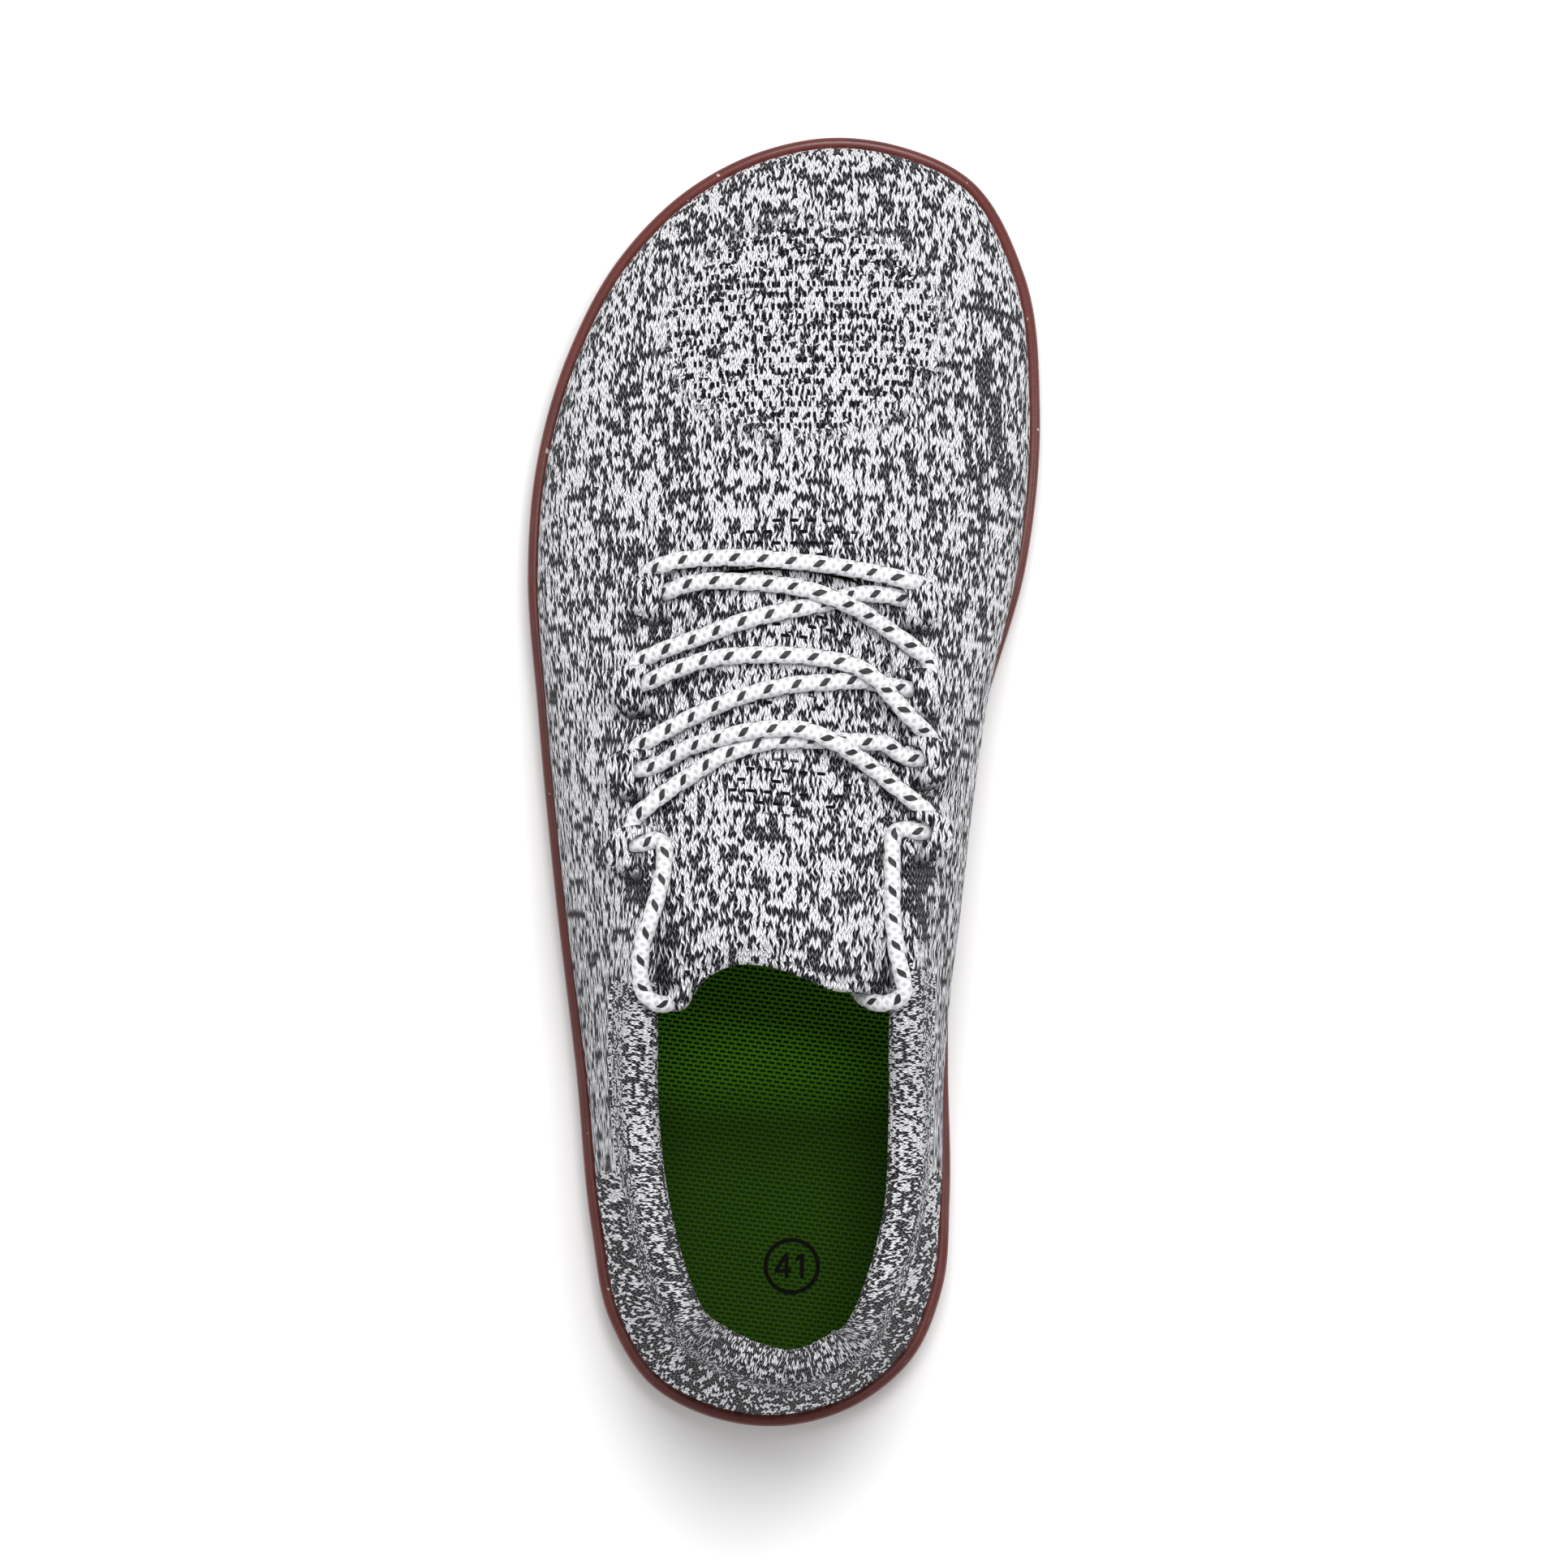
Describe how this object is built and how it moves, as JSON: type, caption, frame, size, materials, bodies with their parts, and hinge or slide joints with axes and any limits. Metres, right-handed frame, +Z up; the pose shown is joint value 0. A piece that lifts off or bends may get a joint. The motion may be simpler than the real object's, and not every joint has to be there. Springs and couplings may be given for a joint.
{
  "type": "barefoot shoe",
  "caption": "Low knitted barefoot shoe for the left foot, with a thin rubber cup sole, loose insole, tongue, lace loops and a tucked round lace.",
  "frame": {"origin": "middle of the sole's length and width, on the ground plane under the tread", "axes": "+Y from heel to toe, +X to the big-toe side, +Z up from the ground"},
  "size_m": [0.11, 0.277, 0.0794],
  "materials": {
    "outsole_rubber": "satin",
    "insole_mesh": "matte",
    "knit": "matte",
    "lace_cord": "matte"
  },
  "bodies": {
    "root": {"outsole": "outsole_rubber", "insole": "insole_mesh", "upper": "knit", "tongue": "knit", "lace_loop_lateral_1": "knit", "lace_loop_lateral_2": "knit", "lace_loop_lateral_3": "knit", "lace_loop_lateral_4": "knit", "lace_loop_medial_1": "knit", "lace_loop_medial_2": "knit", "lace_loop_medial_3": "knit", "lace_loop_medial_4": "knit", "lace_bar_1": "lace_cord", "lace_crossing_2": "lace_cord", "lace_crossing_3": "lace_cord", "lace_crossing_4": "lace_cord", "lace_end_lateral": "lace_cord", "lace_end_medial": "lace_cord"}
  },
  "joints": []
}
